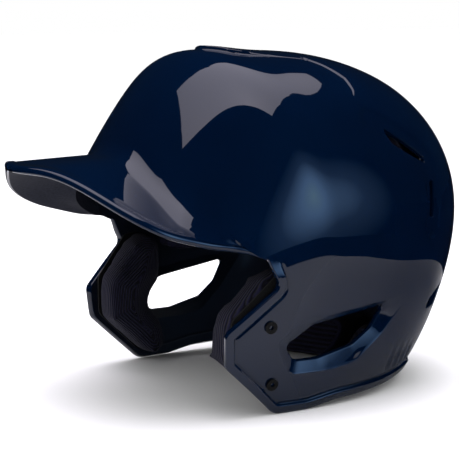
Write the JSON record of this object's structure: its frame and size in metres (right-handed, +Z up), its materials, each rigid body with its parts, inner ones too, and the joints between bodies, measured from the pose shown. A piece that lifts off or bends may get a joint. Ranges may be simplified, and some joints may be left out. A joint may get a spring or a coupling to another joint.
{
  "type": "batting helmet",
  "caption": "Hard glossy head shell with a front brim and a flap over each ear, foam liner, removable ribbed jaw pads and jaw-guard screws.",
  "frame": {"origin": "centre of the footprint, on the surface the helmet stands on", "axes": "+Z up, -Y the way the wearer looks, +X the wearer's left"},
  "size_m": [0.1964, 0.2801, 0.2006],
  "materials": {
    "shell_plastic": "polished deep navy",
    "liner_foam": "closed-cell foam",
    "ribbed_knit": "ribbed knit",
    "pad_fabric": "plain knit",
    "loop_backing": "brushed loop",
    "hook_tape": "hook tape",
    "black_screw": "black oxide",
    "nut_steel": "zinc plated"
  },
  "bodies": {
    "helmet": {"shell": "shell_plastic", "crown_foam": "liner_foam", "crown_pad": "pad_fabric", "brow_foam": "liner_foam", "brow_pad": "pad_fabric", "rear_foam": "liner_foam", "rear_pad": "pad_fabric", "temple_foam_left": "liner_foam", "temple_pad_left": "pad_fabric", "nape_pad_left": "ribbed_knit", "hook_patches_left": "hook_tape", "tee_nut_left_upper": "nut_steel", "tee_nut_left_lower": "nut_steel", "temple_foam_right": "liner_foam", "temple_pad_right": "pad_fabric", "nape_pad_right": "ribbed_knit", "hook_patches_right": "hook_tape", "tee_nut_right_upper": "nut_steel", "tee_nut_right_lower": "nut_steel"},
    "jaw_pad_left": {"jaw_pad_left": "ribbed_knit", "jaw_pad_backing_left": "loop_backing"},
    "jaw_guard_screw_left_upper": {"jaw_guard_screw_left_upper": "black_screw"},
    "jaw_guard_screw_left_lower": {"jaw_guard_screw_left_lower": "black_screw"},
    "jaw_pad_right": {"jaw_pad_right": "ribbed_knit", "jaw_pad_backing_right": "loop_backing"},
    "jaw_guard_screw_right_upper": {"jaw_guard_screw_right_upper": "black_screw"},
    "jaw_guard_screw_right_lower": {"jaw_guard_screw_right_lower": "black_screw"}
  },
  "joints": [
    {"name": "jaw_pad_left_pull_off", "type": "slide", "parent": "helmet", "child": "jaw_pad_left", "axis": [-1, 0, 0], "range_m": [0, 0.03]},
    {"name": "jaw_guard_screw_left_upper_turn", "type": "hinge", "parent": "helmet", "child": "jaw_guard_screw_left_upper", "pos_m": [0.08808, -0.02875, 0.052], "axis": [0.9783, -0.1634, -0.1271], "continuous": true},
    {"name": "jaw_guard_screw_left_lower_turn", "type": "hinge", "parent": "helmet", "child": "jaw_guard_screw_left_lower", "pos_m": [0.08236, -0.02415, 0.0184], "axis": [0.9595, -0.1173, -0.2561], "continuous": true},
    {"name": "jaw_pad_right_pull_off", "type": "slide", "parent": "helmet", "child": "jaw_pad_right", "axis": [1, 0, 0], "range_m": [0, 0.03]},
    {"name": "jaw_guard_screw_right_upper_turn", "type": "hinge", "parent": "helmet", "child": "jaw_guard_screw_right_upper", "pos_m": [-0.08808, -0.02875, 0.052], "axis": [-0.9783, -0.1634, -0.1271], "continuous": true},
    {"name": "jaw_guard_screw_right_lower_turn", "type": "hinge", "parent": "helmet", "child": "jaw_guard_screw_right_lower", "pos_m": [-0.08236, -0.02415, 0.0184], "axis": [-0.9595, -0.1173, -0.2561], "continuous": true}
  ]
}
